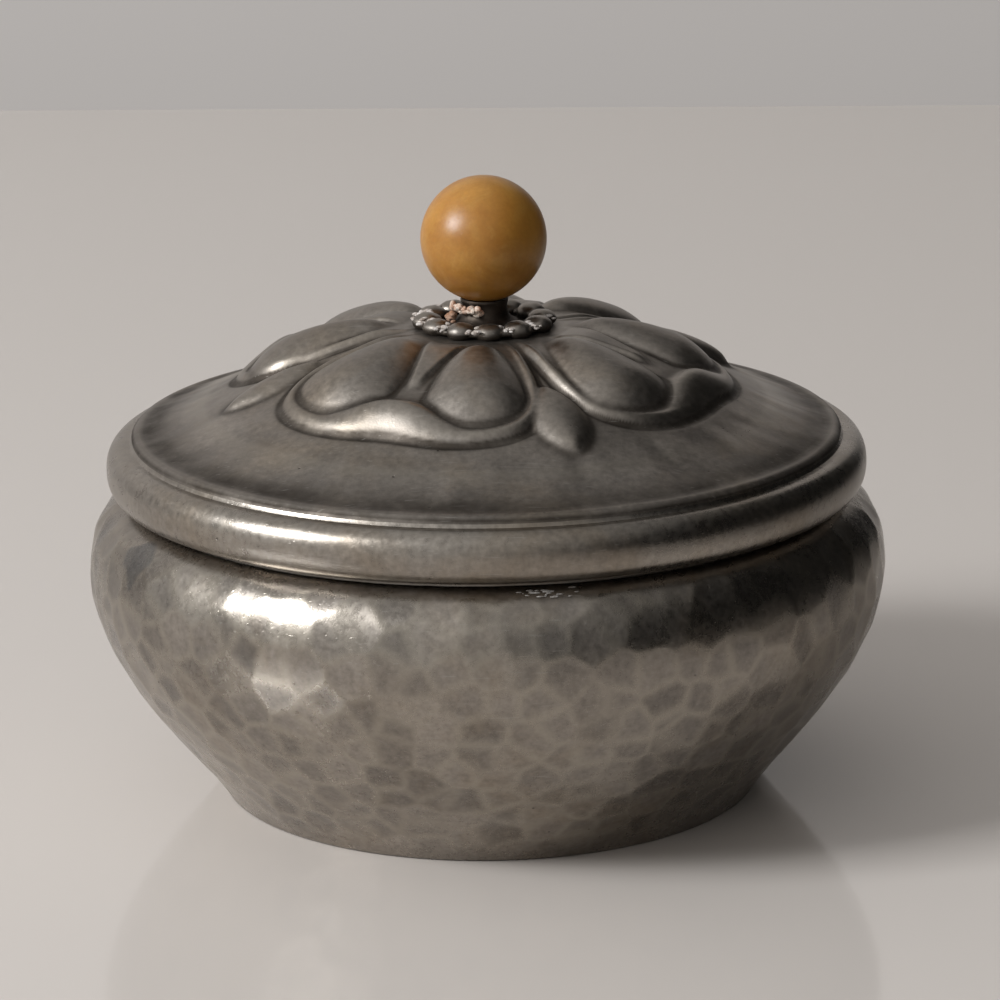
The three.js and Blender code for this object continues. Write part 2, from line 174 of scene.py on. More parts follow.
def lathe(name, profile, columns, sharp=40, wobble=0.0, seed=1):
    """A turned piece, a little out of true by its wobble in mm."""
    verts, faces = revolve(profile, columns)
    if wobble:
        radial = verts * [1, 1, 0]
        length = np.maximum(np.linalg.norm(radial, axis=1), NEVER_ZERO)[:, None]
        shift = value_noise(verts, WOBBLE_WIDE, seed) * wobble
        shift = shift + value_noise(verts, WOBBLE_FINE, seed + 1) * wobble * 0.4
        verts = verts + radial / length * shift[:, None]
        verts[:, 2] += value_noise(verts, WOBBLE_TALL, seed + 2) * wobble
    return mesh_object(name, verts, faces, sharp=sharp)


# ---------------------------------------------------------------- materials


class Nodes:
    """Short names for the nodes of one material."""

    def __init__(self, name):
        self.material = bpy.data.materials.new(name)
        self.material.use_nodes = True
        self.tree = self.material.node_tree
        self.tree.nodes.clear()
        self.shader = self.add("ShaderNodeBsdfPrincipled")
        out = self.add("ShaderNodeOutputMaterial")
        self.tree.links.new(self.shader.outputs["BSDF"], out.inputs["Surface"])
        self.where = self.add("ShaderNodeTexCoord").outputs["Object"]

    def add(self, kind, **settings):
        node = self.tree.nodes.new(kind)
        for key, value in settings.items():
            setattr(node, key, value)
        return node

    def put(self, socket, value):
        if isinstance(value, bpy.types.NodeSocket):
            self.tree.links.new(value, socket)
        else:
            socket.default_value = value

    def stretched(self, scale, turn=(0, 0, 0)):
        node = self.add("ShaderNodeMapping")
        node.inputs["Scale"].default_value = scale
        node.inputs["Rotation"].default_value = [math.radians(a) for a in turn]
        self.put(node.inputs["Vector"], self.where)
        return node.outputs["Vector"]

    def noise(self, scale, detail=4, rough=0.55, where=None, distortion=0.0):
        node = self.add("ShaderNodeTexNoise")
        self.put(node.inputs["Vector"], where or self.where)
        node.inputs["Scale"].default_value = scale
        node.inputs["Detail"].default_value = detail
        node.inputs["Roughness"].default_value = rough
        node.inputs["Distortion"].default_value = distortion
        return node.outputs["Fac"]

    def voronoi(self, scale, where=None, feature="F1"):
        node = self.add("ShaderNodeTexVoronoi", feature=feature)
        self.put(node.inputs["Vector"], where or self.where)
        node.inputs["Scale"].default_value = scale
        return node.outputs["Distance"]

    def value(self, name):
        return self.add("ShaderNodeAttribute", attribute_name=name).outputs["Fac"]

    def math(self, kind, a, b=0.0, clamp=False):
        node = self.add("ShaderNodeMath", operation=kind, use_clamp=clamp)
        self.put(node.inputs[0], a)
        self.put(node.inputs[1], b)
        return node.outputs[0]

    def span(self, value, low, high, to_low=0.0, to_high=1.0):
        node = self.add("ShaderNodeMapRange")
        self.put(node.inputs["Value"], value)
        for key, number in zip(("From Min", "From Max", "To Min", "To Max"), (low, high, to_low, to_high)):
            node.inputs[key].default_value = number
        return node.outputs["Result"]

    def mix(self, amount, a, b, kind="MIX"):
        node = self.add("ShaderNodeMix", data_type="RGBA", blend_type=kind)
        self.put(node.inputs[0], amount)
        for socket, value in ((node.inputs[6], a), (node.inputs[7], b)):
            if not isinstance(value, bpy.types.NodeSocket):
                value = (*value, 1)
            self.put(socket, value)
        return node.outputs[2]

    def bump(self, height, distance, strength=1.0, onto=None):
        node = self.add("ShaderNodeBump")
        self.put(node.inputs["Height"], height)
        node.inputs["Distance"].default_value = distance
        node.inputs["Strength"].default_value = strength
        if onto:
            self.put(node.inputs["Normal"], onto)
        return node.outputs["Normal"]


RUBBED = (0.42, 0.38, 0.32)
# Near black, for grime in creases and lines and for painted shade under the knob's ball
GRIME_AND_SHADE = (0.045, 0.037, 0.03)
PIT = (0.05, 0.042, 0.035)
BLUE_STAIN = (0.115, 0.125, 0.135)
BRIGHT_SCRATCH = (0.5, 0.48, 0.45)
SMOOTHEST = 0.12


def scratches(n, length_scale, width_scale, turns, low, high):
    """Sparse fine lines in a few directions, from 0 to 1."""
    total = None
    for turn in turns:
        where = n.stretched((length_scale, width_scale, width_scale), turn)
        lines = n.span(n.noise(1.0, 2, 0.4, where), low, high)
        total = lines if total is None else n.math("MAXIMUM", total, lines)
    return total


def patina(n, light, dark, warm, tarnish):
    """Mottled colour, its clouds, and the middle and fine noise that other wear follows."""
    big = n.noise(28, 5, 0.6)
    middle = n.noise(120, 5, 0.6)
    fine = n.noise(900, 3, 0.6)
    both = n.math("ADD", n.math("MULTIPLY", big, 0.55), n.math("MULTIPLY", middle, 0.45))
    cloud = n.span(both, 0.36, 0.64)
    colour = n.mix(n.math("MULTIPLY", cloud, tarnish), light, dark)
    warmth = n.span(n.noise(55, 4, 0.6, distortion=0.4), 0.48, 0.72, 0, 0.65)
    colour = n.mix(warmth, colour, warm)
    colour = n.mix(1.0, colour, n.span(fine, 0.3, 0.7, 0.82, 1.16), "MULTIPLY")
    return colour, cloud, middle, fine


def pitting(n):
    """Small round pits, in patches."""
    pits = n.span(n.voronoi(240), 0.035, 0.06, 1, 0)
    return n.math("MULTIPLY", pits, n.span(n.noise(60, 2), 0.5, 0.6))


def turning_marks(n):
    """Fine rings around Z, as a lathe or a polishing cloth leaves them."""
    flat = n.add("ShaderNodeMapping")
    flat.inputs["Scale"].default_value = (1, 1, 0)
    n.put(flat.inputs["Vector"], n.stretched((1, 1, 1)))
    length = n.add("ShaderNodeVectorMath", operation="LENGTH")
    n.put(length.inputs[0], flat.outputs["Vector"])
    rings = n.add("ShaderNodeCombineXYZ")
    n.put(rings.inputs["X"], length.outputs["Value"])
    return n.noise(2600, 2, 0.5, rings.outputs["Vector"])


def pewter(
    name, light, dark, warm, rough,
    ridge=0.0, tone=0.0, cavity=0.0, spun=0.0, tarnish=0.5, lumps=0.5, stain=False,
):
    """Tarnished pewter: mottled patina, rubbed ridges, grime in creases with painted shade where the cavity
    value carries it, scratches and pits.
    """
    n = Nodes(name)
    colour, cloud, middle, fine = patina(n, light, dark, warm, tarnish)
    roughness = n.span(cloud, 0, 1, rough - 0.04, rough + 0.07)
    roughness = n.math("ADD", roughness, n.span(fine, 0.3, 0.7, -0.04, 0.04))
    if tone:
        facet = n.value("tone")
        colour = n.mix(1.0, colour, n.span(facet, 0, 1, 1 - tone, 1 + tone), "MULTIPLY")
        roughness = n.math("ADD", roughness, n.span(facet, 0, 1, -0.04, 0.04))
    if ridge:
        rubbed = n.math("MULTIPLY", n.value("ridge"), n.span(middle, 0.35, 0.6, 0.45, 1))
        colour = n.mix(n.math("MULTIPLY", rubbed, ridge), colour, RUBBED)
        roughness = n.math("SUBTRACT", roughness, n.math("MULTIPLY", rubbed, 0.05))
    # Grime in creases and lines, and painted shade where the cavity value carries it under the knob's ball
    if cavity:
        patchy = n.span(middle, 0.3, 0.65, 0.6, 1.1)
        grime_and_shade = n.math("MULTIPLY", n.value("cavity"), patchy, clamp=True)
        colour = n.mix(n.math("MULTIPLY", grime_and_shade, cavity), colour, GRIME_AND_SHADE)
        roughness = n.math("ADD", roughness, n.math("MULTIPLY", grime_and_shade, 0.2))
    if stain:
        colour = n.mix(n.math("MULTIPLY", n.value("stain"), 0.55), colour, BLUE_STAIN)
    pits = pitting(n)
    colour = n.mix(n.math("MULTIPLY", pits, 0.7), colour, PIT)
    lines = scratches(n, 90, 2600, ((10, 20, 35), (75, 10, -50), (30, 65, 100)), 0.7, 0.76)
    colour = n.mix(n.math("MULTIPLY", lines, 0.2), colour, BRIGHT_SCRATCH)
    n.put(n.shader.inputs["Base Color"], colour)
    n.put(n.shader.inputs["Roughness"], n.math("MAXIMUM", roughness, SMOOTHEST))
    n.shader.inputs["Metallic"].default_value = 1.0
    grain = n.noise(3200, 2, 0.6)
    normal = n.bump(n.math("ADD", grain, n.math("MULTIPLY", fine, 1.5)), 0.00002, 0.55)
    normal = n.bump(lines, 0.00003, 0.35, normal)
    normal = n.bump(n.math("MULTIPLY", pits, -1), 0.00012, 0.6, normal)
    normal = n.bump(n.noise(330, 3, 0.5), 0.00004, lumps, normal)
    if spun:
        normal = n.bump(turning_marks(n), 0.00004, spun, normal)
    n.put(n.shader.inputs["Normal"], normal)
    return n.material


def resin(name):
    """Butterscotch cast resin: faint clouds, warm depth and a worn satin polish."""
    n = Nodes(name)
    clouds = n.noise(70, 5, 0.6, distortion=0.8)
    swirl = n.noise(180, 4, 0.6, distortion=1.5)
    colour = n.mix(n.span(clouds, 0.35, 0.65), (0.43, 0.205, 0.036), (0.33, 0.137, 0.019))
    colour = n.mix(n.span(swirl, 0.5, 0.75, 0, 0.4), colour, (0.49, 0.28, 0.07))
    specks = n.span(n.noise(1500, 3, 0.6), 0.3, 0.7, 0.93, 1.06)
    colour = n.mix(1.0, colour, specks, "MULTIPLY")
    n.put(n.shader.inputs["Base Color"], colour)
    n.put(n.shader.inputs["Roughness"], n.span(n.noise(240, 4), 0.3, 0.7, 0.31, 0.43))
    n.shader.inputs["Subsurface Weight"].default_value = 0.12
    n.shader.inputs["Subsurface Radius"].default_value = (0.004, 0.002, 0.0007)
    n.shader.inputs["Subsurface Scale"].default_value = 1.0
    n.shader.inputs["IOR"].default_value = 1.5
    n.shader.inputs["Specular IOR Level"].default_value = 0.5
    lines = scratches(n, 120, 2400, ((20, 40, 10), (70, 0, 60)), 0.7, 0.77)
    normal = n.bump(n.noise(1400, 3), 0.000025, 0.5)
    normal = n.bump(lines, 0.00002, 0.4, normal)
    normal = n.bump(n.noise(160, 3), 0.00012, 0.35, normal)
    n.put(n.shader.inputs["Normal"], normal)
    return n.material


def crumbly(name, light, dark):
    """Dry crumbs of cement or old polish."""
    n = Nodes(name)
    patch = n.noise(700, 4, 0.65)
    colour = n.mix(n.span(patch, 0.4, 0.62), light, dark)
    colour = n.mix(n.math("MULTIPLY", n.value("brown"), 0.75), colour, (0.3, 0.15, 0.08))
    grit = n.span(n.noise(3500, 3, 0.7), 0.3, 0.7, 0.75, 1.15)
    colour = n.mix(1.0, colour, grit, "MULTIPLY")
    n.put(n.shader.inputs["Base Color"], colour)
    n.put(n.shader.inputs["Roughness"], n.span(patch, 0.3, 0.7, 0.8, 0.98))
    n.put(n.shader.inputs["Normal"], n.bump(n.noise(2600, 4, 0.7), 0.00015, 0.8))
    return n.material


def brass(name):
    """Dull brass, browned in patches."""
    n = Nodes(name)
    tarnish = n.noise(260, 5, 0.6)
    colour = n.mix(n.span(tarnish, 0.4, 0.65), (0.55, 0.4, 0.17), (0.27, 0.18, 0.085))
    n.put(n.shader.inputs["Base Color"], colour)
    n.shader.inputs["Metallic"].default_value = 1.0
    n.put(n.shader.inputs["Roughness"], n.span(n.noise(900, 3), 0.3, 0.7, 0.32, 0.5))
    n.put(n.shader.inputs["Normal"], n.bump(n.noise(2400, 3), 0.00003, 0.6))
    return n.material


PEWTER_LIGHT = (0.31, 0.278, 0.244)
PEWTER_DARK = (0.162, 0.152, 0.145)
PEWTER_WARM = (0.27, 0.222, 0.168)

hammered = pewter(
    "hammered_pewter", PEWTER_LIGHT, PEWTER_DARK, PEWTER_WARM, 0.29,
    ridge=0.6, tone=0.2, lumps=0.1, stain=True,
)
inside = pewter(
    "inside_pewter", (0.31, 0.285, 0.255), (0.18, 0.165, 0.15), PEWTER_WARM, 0.38, spun=0.5,
)
relief_pewter = pewter(
    "rose_pewter", PEWTER_LIGHT, PEWTER_DARK, PEWTER_WARM, 0.385,
    ridge=0.28, tone=0.2, cavity=0.92, lumps=0.1,
)
smooth = pewter(
    "smooth_pewter", (0.33, 0.3, 0.265), (0.22, 0.2, 0.18), PEWTER_WARM, 0.29,
    spun=0.1, tarnish=0.3, lumps=0.05,
)
# Near black for the knob's neck: its own dark brown, darkened further as painted shade under the ball
dark = pewter(
    "dark_pewter", (0.1, 0.082, 0.068), (0.04, 0.032, 0.027), (0.08, 0.052, 0.034), 0.48, lumps=1.0,
)
ball_resin = resin("butterscotch_resin")
cement = crumbly("cement_crumbs", (0.72, 0.62, 0.53), (0.5, 0.27, 0.17))
polish = crumbly("polish_residue", (0.68, 0.64, 0.61), (0.36, 0.31, 0.27))
film = crumbly("mouth_residue", (0.42, 0.4, 0.38), (0.2, 0.18, 0.16))
fixing = brass("brass_fixing")


def dress(ob, material, body, node):
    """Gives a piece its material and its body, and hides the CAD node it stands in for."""
    ob.data.materials.append(material)
    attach(ob, body)
    if node:
        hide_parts(node)
    return ob


# ---------------------------------------------------------------- bowl

FOOT = 44.1
SHEET = 1.5
RECESS = 0.8
FLOOR_TOP = RECESS + SHEET
BOWL_COLUMNS = 1000
STAIN_PLACE = (-55.0, -29.5, 45.2)
outer = np.vstack([
    bezier((FOOT, 0.6), (49.5, 9), (64.5, 22), (65, 37), 60),
    bezier((65, 37), (65, 42), (63.8, 46.9), (58.2, 49.3), 40)[1:],
])
outer = resample(outer, 0.42)


def outward(profile):
    """The unit normal at every point of a profile that runs upward."""
    direction = np.gradient(profile, axis=0)
    direction = direction / np.linalg.norm(direction, axis=1)[:, None]
    return np.stack([direction[:, 1], -direction[:, 0]], 1)


# Planishing: spacing of the rows and of the blows in a row, how far a blow strays, the radius
# of the hammer's face, the deepest blow, its tilt, and how soft and how wide a ridge is
HAMMER_FIRST_ROW = 1.5
HAMMER_ROW = 5.1
HAMMER_STEP = 6.1
HAMMER_STRAY = 1.9
FACET_RADIUS = 46.0
DEEPEST_BLOW = 0.08
BLOW_TILT = 0.016
FACET_SOFTNESS = 0.03
RIDGE_WIDTH = 0.11


def hammer_blows(profile):
    """Where each blow of the planishing hammer fell: place, depth, tilt and tone."""
    lengths = np.r_[0, np.cumsum(np.linalg.norm(np.diff(profile, axis=0), axis=1))]
    centres, depth, tilt, tone = [], [], [], []
    level = HAMMER_FIRST_ROW
    while level < lengths[-1]:
        r = np.interp(level, lengths, profile[:, 0])
        count = int(round(2 * math.pi * r / HAMMER_STEP))
        start = rng.uniform(0, 2 * math.pi)
        for k in range(count):
            angle = start + 2 * math.pi * (k + rng.uniform(-0.33, 0.33)) / count
            at = np.clip(level + rng.uniform(-HAMMER_STRAY, HAMMER_STRAY), 0, lengths[-1])
            rr = np.interp(at, lengths, profile[:, 0])
            zz = np.interp(at, lengths, profile[:, 1])
            centres.append((rr * math.cos(angle), rr * math.sin(angle), zz))
            depth.append(rng.uniform(0, DEEPEST_BLOW))
            tilt.append(rng.normal(0, BLOW_TILT, 3))
            tone.append(rng.uniform(0, 1))
        level += HAMMER_ROW
    return [np.array(v) for v in (centres, depth, tilt, tone)]


def hammered_surface(points, blows):
    """Inward relief of overlapping facets, how near a ridge each point is, and its facet's tone."""
    centres, depth, tilt, tone = blows
    height = np.zeros(len(points))
    ridge = np.zeros(len(points))
    shade = np.zeros(len(points))
    batch = 4000
    for start in range(0, len(points), batch):
        these = slice(start, start + batch)
        p = points[these]
        apart = p[:, None, :] - centres[None, :, :]
        level = (apart**2).sum(2) / (2 * FACET_RADIUS) - depth + (apart * tilt).sum(2)
        nearest = np.argpartition(level, 2, axis=1)[:, :3]
        values = np.take_along_axis(level, nearest, 1)
        order = np.argsort(values, axis=1)
        values = np.take_along_axis(values, order, 1)
        nearest = np.take_along_axis(nearest, order, 1)
        weight = np.exp(-(values - values[:, :1]) / FACET_SOFTNESS)
        height[these] = values[:, 0] - FACET_SOFTNESS * np.log(weight.sum(1))
        ridge[these] = bell(values[:, 1] - values[:, 0], RIDGE_WIDTH)
        total = weight / weight.sum(1)[:, None]
        shade[these] = (total * tone[nearest]).sum(1)
    return height, ridge, shade


def build_bowl():
    """The bowl, hammered outside and smooth inside."""
    normals = outward(outer)
    inner = outer - normals * SHEET
    inner = inner[inner[:, 1] > 4.5]
    floor = bezier(inner[0], (FOOT - 1.5, 2.6), (FOOT - 5, FLOOR_TOP), (FOOT - 12, FLOOR_TOP), 10)
    inside_wall = resample(inner[::-1], 1.8)
    low = [
        (0, RECESS), (30, RECESS), (36.6, RECESS), (37.4, 0.6), (38, 0.1), (38.3, 0),
        (43.2, 0), (43.75, 0.12), (44.0, 0.35),
    ]
    profile = np.vstack([low, outer, inside_wall, floor[1:], [(20, FLOOR_TOP), (0, FLOOR_TOP)]])
    verts, faces = revolve(profile, BOWL_COLUMNS)
    first = 1 + (len(low) - 1) * BOWL_COLUMNS
    last = first + len(outer) * BOWL_COLUMNS
    points = verts[first:last]
    height, ridge, shade = hammered_surface(points, hammer_blows(outer))
    angle = np.arctan2(points[:, 1], points[:, 0])
    side = np.repeat(normals, BOWL_COLUMNS, axis=0)
    fade = ease(0.5, 5, points[:, 2]) * (1 - 0.75 * ease(46.5, 48.8, points[:, 2]))
    soft = value_noise(points, 14, 3) * 0.05
    shift = (height - 0.05) * fade + soft * fade
    move = np.stack([side[:, 0] * np.cos(angle), side[:, 0] * np.sin(angle), side[:, 1]], 1)
    verts[first:last] = points + move * shift[:, None]
    values = {key: np.zeros(len(verts)) for key in ("ridge", "tone", "stain")}
    values["ridge"][first:last] = ridge * fade
    values["tone"][:] = 0.5
    values["tone"][first:last] = 0.5 + (shade - 0.5) * fade
    patch = np.linalg.norm(points - STAIN_PLACE, axis=1) + 1.3 * value_noise(points, 2.6, 8)
    values["stain"][first:last] = 1 - ease(3.4, 4.2, patch)
    ob = mesh_object("hammered_bowl", verts, faces, values, sharp=50)
    dress(ob, hammered, "bowl", "bowl_body")
    ob.data.materials.append(inside)
    return ob


def mark_inside(ob):
    """Gives the bowl's inner faces their second material."""
    centres = np.array([p.center[:] for p in ob.data.polygons]) / MM
    radius = np.hypot(centres[:, 0], centres[:, 1])
    height = centres[:, 2]
    limit = np.interp(height, outer[:, 1], outer[:, 0]) - 0.9
    inner_face = ((radius < limit) | (radius < FOOT - 3)) & (height > 1.5)
    ob.data.polygons.foreach_set("material_index", inner_face.astype(np.int32))


mark_inside(build_bowl())

collar_profile = [
    (56.1, 43.6), (57.1, 43.6), (57.3, 43.8), (57.3, 49.2), (57.1, 49.5), (56.6, 49.6),
    (56.1, 49.5), (55.9, 49.2), (55.9, 43.8),
]
collar = lathe("mouth_bearing_collar", collar_profile, 360, sharp=35, wobble=0.02, seed=11)
dress(collar, smooth, "bowl", "mouth_collar")

# ---------------------------------------------------------------- lid

# Each petal: bearing of its axis, reach, half widths to either side, squareness of its
# outline, and its two lobes as (turn from the axis, half width)
PETALS = (
    (-114, 40.0, 47, 43.5, 4.8, ((-22.0, 9.2), (21.0, 8.0))),
    (-23, 40.7, 45, 45, 4.2, ((-22.5, 8.4), (23.0, 8.2))),
    (68, 41.0, 45, 45, 4.5, ((-18.5, 8.0), (18.5, 8.0))),
    (153, 42.0, 42, 37, 4.2, ((-20.0, 8.0), (19.5, 7.8))),
)
# Each sepal: bearing, tip radius, half width and height
SEPALS = (
    (-71, 42.8, 5.0, 2.1), (21, 43, 5.2, 3.0), (111, 43, 4.6, 2.0), (-165, 43.2, 4.0, 1.9),
)
SEPAL_ROOT = 27
SEPAL_FULLNESS = 2.71
SEPAL_ARCH = 2.2
LOBE_BACK = 10.0
LOBE_OUT = 7.0
LOBE_IN = 17.0
LOBE_RISE = 3.2
LOBE_TAPER = 0.9
LOBE_ROUNDNESS = 0.8
LOBE_LINE_WIDTH = 0.055
PETAL_NOTCH = 0.02
PETAL_EDGE = 0.9
RIM_RISE = 0.6
RIM_WIDTH = 2.6
LIP_RISE = 2.4
LIP_BACK = 4.9
LIP_BEND = 40
LIP_LENGTH = 9
LIP_OUTER_WIDTH = 3.4
LIP_INNER_WIDTH = 2.6
RIB_START = 13
RIB_LENGTH = 22
RIB_HALF_WIDTH = 4.2
CENTRE_FLAT = 6.8
CENTRE_FLAT_HEIGHT = 76.3
LID_COLUMNS = 1060
LID_RIM_HEIGHT = 59.4
LID_SHEET = 1.3
DOME_RISE = 17.6
DOME_SPAN = 58
DOME_POWER = 1.45


def dome_height(r):
    share = np.maximum(1 - (r / DOME_SPAN) ** 2, 0)
    return LID_RIM_HEIGHT + DOME_RISE * share**DOME_POWER


def petal_inside(petal, r, bearing):
    """Distance in from a petal's outline, negative outside it, and the angle off its axis."""
    centre, far, low, high, square = petal[:5]
    away = turned(bearing, centre)
    width = np.radians(np.where(away < 0, low, high))
    angle = np.abs(np.radians(away))
    reach = far * (1 - PETAL_NOTCH * bell(away, 9))
    level = (r / reach) ** square + (angle / width) ** square
    slope_out = square * (r / reach) ** (square - 1) / reach
    slope_round = square * (angle / width) ** (square - 1) / (width * np.maximum(r, 1))
    return (1 - level) / np.maximum(np.hypot(slope_out, slope_round), NEVER_ZERO), away


def lobe_share(petal, lobe, r, bearing):
    """Squared distance from a lobe's middle: 1 on its outline, which is a rounded teardrop."""
    turn, half = lobe
    middle = petal[1] - LOBE_BACK
    away = turned(bearing, petal[0] + turn)
    width = half * (np.maximum(r, 5) / middle) ** LOBE_TAPER
    across = r * np.sin(np.radians(away)) / width
    along = np.where(r > middle, (r - middle) / LOBE_OUT, (r - middle) / LOBE_IN)
    return np.where(np.abs(away) < 90, across**2 + along**2, 9)


def lobe_height(petal, r, bearing):
    total = np.zeros_like(r)
    for lobe in petal[5]:
        share = lobe_share(petal, lobe, r, bearing)
        total = soft_max(total, LOBE_RISE * np.maximum(1 - share, 0) ** LOBE_ROUNDNESS, 0.3)
    return total


def lobe_line(r, bearing):
    """The dark line chased around the outer half of every lobe."""
    line = np.zeros_like(r)
    for petal in PETALS:
        middle = petal[1] - LOBE_BACK
        for lobe in petal[5]:
            distance = np.sqrt(lobe_share(petal, lobe, r, bearing))
            shown = ease(middle - 6, middle + 2, r)
            line = np.maximum(line, bell(distance - 1, LOBE_LINE_WIDTH) * shown)
    return line


def petal_height(petal, r, bearing):
    """A stepped edge, a rim, a turned lip, two lobes and the rib between them."""
    within, away = petal_inside(petal, r, bearing)
    edge = PETAL_EDGE * ease(-0.1, 0.9, within)
    rim = RIM_RISE * np.sin(math.pi * np.clip(within / RIM_WIDTH, 0, 1))
    across = r * np.sin(np.radians(away))
    crest = r - (petal[1] - LIP_BACK + across**2 / LIP_BEND)
    lip = np.where(crest > 0, bell(crest, LIP_OUTER_WIDTH), bell(crest, LIP_INNER_WIDTH))
    lip = LIP_RISE * bell(across, LIP_LENGTH) * lip * ease(0, 2.2, within)
    rib_half = np.maximum(RIB_HALF_WIDTH * (1 - (r - RIB_START) / RIB_LENGTH), 0.01)
    rib = ease(12, 15, r) * (1 - ease(26, 30, r)) * ease(0, 0.9, rib_half - np.abs(across))
    body = soft_max(soft_max(lobe_height(petal, r, bearing), lip, 0.35), rim, 0.3)
    return np.where(within > -0.1, edge + soft_max(body, rib, 0.2), 0)


def sepal_height(sepal, r, bearing):
    centre, tip, widest, rise = sepal
    share = np.clip((r - SEPAL_ROOT) / (tip - SEPAL_ROOT), 0, 1)
    half = widest * SEPAL_FULLNESS * share**0.8 * (1 - share) ** 0.65
    away = turned(bearing, centre)
    across = np.abs(r * np.sin(np.radians(away)))
    inside_it = (np.abs(away) < 90) & (across < half) & (share > 0) & (share < 1)
    arch = np.maximum(1 - (across / np.maximum(half, NEVER_ZERO)) ** SEPAL_ARCH, 0) ** 0.9
    return np.where(inside_it, rise * arch * np.sqrt(half / widest), 0)


def chased_line(r, bearing, relief):
    """Depth of the line punched into the ground just outside every petal."""
    line = np.zeros_like(r)
    for petal in PETALS:
        within, away = petal_inside(petal, r, bearing)
        line = np.maximum(line, bell(within + 0.35, 0.5) * ease(14, 22, r))
    return line * (1 - ease(0.15, 0.6, relief))


def lid_relief(r, bearing):
    """Height of the rose above the plain dome."""
    total = np.zeros_like(r)
    for sepal in SEPALS:
        total = soft_max(total, sepal_height(sepal, r, bearing), 0.3)
    for petal in PETALS:
        total = soft_max(total, petal_height(petal, r, bearing), 0.4)
    return total * ease(10, 19, r)


def lid_height(r, bearing):
    """Height of the lid's upper face, flat in the middle where the knob stands."""
    is_open = ease(CENTRE_FLAT, CENTRE_FLAT + 1.6, r)
    return CENTRE_FLAT_HEIGHT * (1 - is_open) + (dome_height(r) + lid_relief(r, bearing)) * is_open


def blurred(grid, rows, columns):
    """A grid around an axis averaged over a few rows and columns."""
    total = sum(np.roll(grid, k, axis=1) for k in range(-columns, columns + 1)) / (2 * columns + 1)
    padded = np.pad(total, ((rows, rows), (0, 0)), mode="edge")
    return sum(padded[k : k + len(grid)] for k in range(2 * rows + 1)) / (2 * rows + 1)


# Depth in mm of the lines chased around the petals and the lobes, of the soft marks that run
# out over the plain rim, and of the fine waves everywhere
CHASED_DEPTH = 0.3
LOBE_LINE_DEPTH = 0.1
STREAK_DEPTH = 0.13
WAVE_DEPTH = 0.05
FINE_WAVE_DEPTH = 0.018


def lid_surface(r, bearing):
    """Heights of the lid's upper face with all its marks, and its grime, painted shade under the ball, wear
    and tone.
    """
    relief = lid_relief(r, bearing)
    line = blurred(chased_line(r, bearing, relief), 1, 1)
    foot = blurred(lobe_line(r, bearing), 1, 1)
    z = lid_height(r, bearing)
    z = z + (blurred(blurred(z, 1, 1), 2, 2) - z) * ease(12, 15, r) * (1 - ease(44, 46, r))
    angle = np.radians(bearing)
    flat = np.stack([r * np.cos(angle), r * np.sin(angle), np.zeros_like(r)], 2).reshape(-1, 3)
    polar = np.stack([bearing.ravel() / 3.6, r.ravel() / 11, np.zeros(r.size)], 1)
    streak = value_noise(polar, 1, 5).reshape(r.shape) * ease(40, 45, r) * (1 - ease(49, 55, r))
    waves = value_noise(flat, 5.5, 6) * WAVE_DEPTH + value_noise(flat, 2.3, 7) * FINE_WAVE_DEPTH
    waves = waves.reshape(r.shape) * ease(10, 14, r) * (1 - ease(55.5, 57, r))
    edge = 0.2 * bell(r - 56.6, 0.8) - 0.4 * ease(57.0, 57.6, r)
    carved = z + edge - CHASED_DEPTH * line - LOBE_LINE_DEPTH * foot
    lift = carved - blurred(carved, 5, 5)
    wide_lift = carved - blurred(carved, 12, 12)
    worn = ease(11, 15, r)
    creases = np.clip(-lift / 0.16, 0, 1) * 0.75 + np.clip(-wide_lift / 0.7, 0, 1) * 0.5
    # Grime in the creases and chased lines; the last term is painted shade, darkening the middle under the
    # knob's ball
    cavity = (creases + 1.3 * line + 0.7 * foot) * worn + 0.9 * (1 - ease(10.5, 13, r))
    ridge = (np.clip(lift / 0.2, 0, 1) * 0.6 + np.clip(wide_lift / 0.8, 0, 1) * 0.5) * worn
    tone = 0.5 + 0.6 * streak + 0.25 * value_noise(flat, 9, 9).reshape(r.shape)
    values = {"cavity": cavity, "ridge": ridge, "tone": tone}
    return carved + streak * STREAK_DEPTH + waves, values


def build_lid():
    top = np.r_[
        1.8, 3, 5, 6.6, np.arange(7, 11, 0.5), np.arange(11, 46, 0.26), np.arange(46, 57, 0.8),
        57.1, 57.45, 57.6,
    ]
    under = np.r_[57.6, 57.2, 55, np.arange(52, 9, -1.8), 8.4, 6.8, 4, 1.8]
    bearing = np.arange(LID_COLUMNS) * 360 / LID_COLUMNS
    r_top, b_top = np.meshgrid(top, bearing, indexing="ij")
    r_under, b_under = np.meshgrid(under, bearing, indexing="ij")
    z_top, values = lid_surface(r_top, b_top)
    z_under = lid_height(r_under, b_under) - LID_SHEET
    angle = np.radians(bearing)
    rows = []
    for radii, heights in ((r_top, z_top), (r_under, z_under)):
        rows.append(np.stack([radii * np.cos(angle), radii * np.sin(angle), heights], 2).reshape(-1, 3))
    counts = [LID_COLUMNS] * (len(top) + len(under))
    faces = [f[::-1] for f in ring_faces(counts, LID_COLUMNS, True)]
    plain = {"cavity": 0, "ridge": 0, "tone": 0.5}
    for key, grid in values.items():
        values[key] = np.r_[np.clip(grid, 0, 1).ravel(), np.full(r_under.size, plain[key])]
    ob = mesh_object("rose_lid", np.vstack(rows), faces, values, sharp=60)
    dress(ob, relief_pewter, "lid", "lid_shell")
    ob.data.materials.append(inside)
    flags = np.zeros(len(ob.data.polygons), np.int32)
    flags[len(top) * LID_COLUMNS : (len(top) + len(under) - 1) * LID_COLUMNS] = 1
    ob.data.polygons.foreach_set("material_index", flags)


build_lid()

MOULDING_RADIUS = 58.2
MOULDING_HEIGHT = 54.1
MOULDING_HALF_WIDTH = 3.6
MOULDING_HALF_HEIGHT = 4.2
MOULDING_SQUARENESS = 2.3

